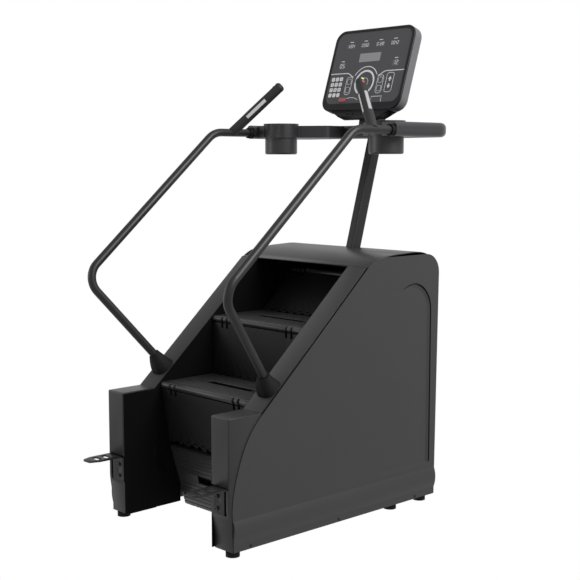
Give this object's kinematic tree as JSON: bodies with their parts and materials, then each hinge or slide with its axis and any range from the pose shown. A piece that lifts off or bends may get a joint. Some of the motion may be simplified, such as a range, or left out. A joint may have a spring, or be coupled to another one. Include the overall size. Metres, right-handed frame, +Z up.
{
  "type": "stair climber",
  "caption": "Revolving-stair gym machine: hinged treads between two casings, bent handrails, a crossbar with cup holders, pulse grips and a tilted console on a mast.",
  "frame": {"origin": "on the floor, under the middle of the whole machine's box", "axes": "+Z up, +Y the way the user faces, +X to the user's right"},
  "size_m": [0.938, 1.4516, 2.134],
  "materials": {
    "frame_steel": "black powder coat",
    "casing_panel": "fine-textured charcoal moulding",
    "casing_trim": "fine-textured dark grey moulding",
    "inner_plastic": "matt black sheet",
    "inlet_plastic": "matt black",
    "rail_steel": "satin black powder coat",
    "rail_rubber": "matt black",
    "housing_plastic": "satin black moulding",
    "grip_foam": "matt black overmould",
    "contact_steel": "brushed",
    "key_red": "semi-gloss red",
    "key_green": "semi-gloss yellow-green",
    "console_plastic": "satin mid-grey moulding",
    "bezel_plastic": "satin black",
    "overlay_film": "matt polyester film",
    "display_lens": "grey filter",
    "bracket_steel": "black powder coat",
    "fastener_steel": "black oxide",
    "foot_rubber": "matt black",
    "shaft_steel": "turned steel",
    "belt_rubber": "ribbed belt",
    "alternator_case": "cast",
    "controller_case": "plain sheet",
    "tread_plastic": "ribbed dark grey moulding",
    "riser_plastic": "matt dark grey moulding"
  },
  "bodies": {
    "machine": {"frame_rails": "frame_steel", "frame_cross_members": "frame_steel", "frame_posts": "frame_steel", "frame_stringers": "frame_steel", "mast_beam": "frame_steel", "mast": "frame_steel", "side_panel_left": "casing_panel", "side_panel_right": "casing_panel", "post_cover_left": "casing_trim", "post_cover_right": "casing_trim", "band_cap_left": "casing_trim", "band_cap_right": "casing_trim", "top_cover": "casing_trim", "rear_cover": "casing_trim", "inner_wall_left": "inner_plastic", "inner_wall_right": "inner_plastic", "power_inlet": "inlet_plastic", "handrail_left": "rail_steel", "handrail_right": "rail_steel", "rail_boots": "rail_rubber", "rail_collars": "rail_rubber", "crossbar_housing": "housing_plastic", "cup_tray_left": "housing_plastic", "cup_tray_right": "housing_plastic", "grip_left": "grip_foam", "grip_right": "grip_foam", "contact_plates": "contact_steel", "console_housing": "console_plastic", "console_bracket": "console_plastic", "console_bezel": "bezel_plastic", "console_panel": "overlay_film", "display_windows": "display_lens", "entry_step_left": "bracket_steel", "entry_step_right": "bracket_steel", "bracket_bolts": "fastener_steel", "skirt_screws": "fastener_steel", "levelling_feet": "foot_rubber", "shaft_bearings": "shaft_steel", "step_chains": "shaft_steel", "drive_belt": "belt_rubber", "alternator": "alternator_case", "controller_box": "controller_case"},
    "steps_front": {"tread_1": "tread_plastic", "tread_2": "tread_plastic", "riser_2": "riser_plastic"},
    "riser_low": {"riser_1": "riser_plastic"},
    "tread_low": {"tread_6": "tread_plastic"},
    "riser_high": {"riser_3": "riser_plastic"},
    "tread_high": {"tread_3": "tread_plastic"},
    "steps_return": {"return_steps": "tread_plastic"},
    "riser_closing": {"riser_6": "riser_plastic"},
    "lower_sprockets": {"lower_sprocket_shaft": "shaft_steel"},
    "upper_sprockets": {"upper_sprocket_shaft": "shaft_steel", "drive_pulley": "shaft_steel"},
    "rotor": {"alternator_rotor": "shaft_steel"},
    "stop_button": {"stop_key": "key_red"},
    "grip_up_key_left_button": {"grip_up_key_left": "key_green"},
    "grip_up_key_right_button": {"grip_up_key_right": "key_green"},
    "grip_down_key_left_button": {"grip_down_key_left": "key_red"},
    "grip_down_key_right_button": {"grip_down_key_right": "key_red"}
  },
  "joints": [
    {"name": "step_travel", "type": "slide", "parent": "machine", "child": "steps_front", "axis": [0, -0.7466, -0.6653], "range_m": [-0.03, 0.05]},
    {"name": "riser_low_fold", "type": "hinge", "parent": "steps_front", "child": "riser_low", "pos_m": [0, -0.36528, 0.564], "axis": [1, 0, 0], "range_deg": [-4.53, 7.55]},
    {"name": "tread_low_fold", "type": "hinge", "parent": "riser_low", "child": "tread_low", "pos_m": [0, -0.32159, 0.30567], "axis": [1, 0, 0], "range_deg": [-2.45, 4.08]},
    {"name": "riser_high_fold", "type": "hinge", "parent": "steps_front", "child": "riser_high", "pos_m": [0, 0.22272, 0.826], "axis": [1, 0, 0], "range_deg": [-10.59, 17.65]},
    {"name": "tread_high_fold", "type": "hinge", "parent": "riser_high", "child": "tread_high", "pos_m": [0, 0.40798, 1.01126], "axis": [1, 0, 0], "range_deg": [-2.14, 3.56]},
    {"name": "return_travel", "type": "slide", "parent": "machine", "child": "steps_return", "axis": [0, 0.7466, 0.6653], "range_m": [-0.0306, 0.051]},
    {"name": "riser_closing_fold", "type": "hinge", "parent": "steps_return", "child": "riser_closing", "pos_m": [0, -0.05577, 0.22081], "axis": [1, 0, 0], "range_deg": [-4.16, 6.93]},
    {"name": "lower_sprocket_turn", "type": "hinge", "parent": "machine", "child": "lower_sprockets", "pos_m": [0, -0.18678, 0.2805], "axis": [1, 0, 0], "range_deg": [-17.89, 29.82]},
    {"name": "upper_sprocket_turn", "type": "hinge", "parent": "machine", "child": "upper_sprockets", "pos_m": [0, 0.36972, 0.776], "axis": [1, 0, 0], "range_deg": [-17.89, 29.82]},
    {"name": "rotor_turn", "type": "hinge", "parent": "machine", "child": "rotor", "pos_m": [0, 0.45422, 0.262], "axis": [1, 0, 0], "range_deg": [-70.28, 117.14]},
    {"name": "stop_key_press", "type": "slide", "parent": "machine", "child": "stop_button", "axis": [0, 0.9511, -0.309], "range_m": [0, 0.0015], "stiffness_N_per_m": 600, "springref_m": -0.0005},
    {"name": "grip_up_key_right_press", "type": "slide", "parent": "machine", "child": "grip_up_key_right_button", "axis": [-0.6747, 0.1568, -0.7212], "range_m": [0, 0.0015], "stiffness_N_per_m": 500, "springref_m": -0.0005},
    {"name": "grip_up_key_left_press", "type": "slide", "parent": "machine", "child": "grip_up_key_left_button", "axis": [0.6747, 0.1568, -0.7212], "range_m": [0, 0.0015], "stiffness_N_per_m": 500, "springref_m": -0.0005},
    {"name": "grip_down_key_right_press", "type": "slide", "parent": "machine", "child": "grip_down_key_right_button", "axis": [-0.6747, 0.1568, -0.7212], "range_m": [0, 0.0015], "stiffness_N_per_m": 500, "springref_m": -0.0005},
    {"name": "grip_down_key_left_press", "type": "slide", "parent": "machine", "child": "grip_down_key_left_button", "axis": [0.6747, 0.1568, -0.7212], "range_m": [0, 0.0015], "stiffness_N_per_m": 500, "springref_m": -0.0005}
  ],
  "couplings": [
    {"joint": "riser_low_fold", "follows": "step_travel", "rad_per_m": 2.583},
    {"joint": "tread_low_fold", "follows": "step_travel", "rad_per_m": 1.396},
    {"joint": "riser_high_fold", "follows": "step_travel", "rad_per_m": 6.04},
    {"joint": "tread_high_fold", "follows": "step_travel", "rad_per_m": 1.22},
    {"joint": "return_travel", "follows": "step_travel", "ratio": 1},
    {"joint": "riser_closing_fold", "follows": "step_travel", "rad_per_m": 2.37},
    {"joint": "lower_sprocket_turn", "follows": "step_travel", "rad_per_m": 10.204},
    {"joint": "upper_sprocket_turn", "follows": "step_travel", "rad_per_m": 10.204},
    {"joint": "rotor_turn", "follows": "step_travel", "rad_per_m": 40.087}
  ]
}
